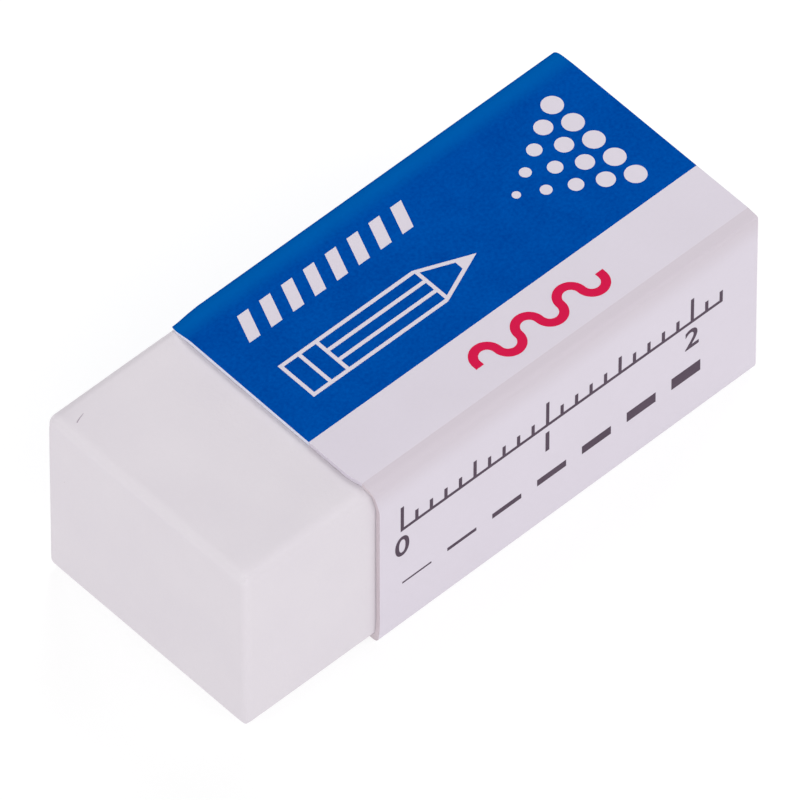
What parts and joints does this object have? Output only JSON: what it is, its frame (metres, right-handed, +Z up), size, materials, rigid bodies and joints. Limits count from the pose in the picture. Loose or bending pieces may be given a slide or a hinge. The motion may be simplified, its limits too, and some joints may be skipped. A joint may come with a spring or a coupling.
{
  "type": "rubber eraser",
  "caption": "Small block eraser of white plastic in a folded paperboard sleeve that slides along it.",
  "frame": {"origin": "on the surface that the sleeve stands on, under the middle of the whole eraser", "axes": "+X along the eraser from its bare tip to its sleeved end, +Y to the side away from the printed scale, +Z up"},
  "size_m": [0.035, 0.0154, 0.0124],
  "materials": {
    "eraser_plastic": "matte",
    "printed_board": "satin"
  },
  "bodies": {
    "eraser": {"eraser_block": "eraser_plastic"},
    "sleeve": {"paper_sleeve": "printed_board"}
  },
  "joints": [
    {"name": "sleeve_slide", "type": "slide", "parent": "eraser", "child": "sleeve", "axis": [1, 0, 0], "range_m": [-0.00845, 0.027]}
  ]
}
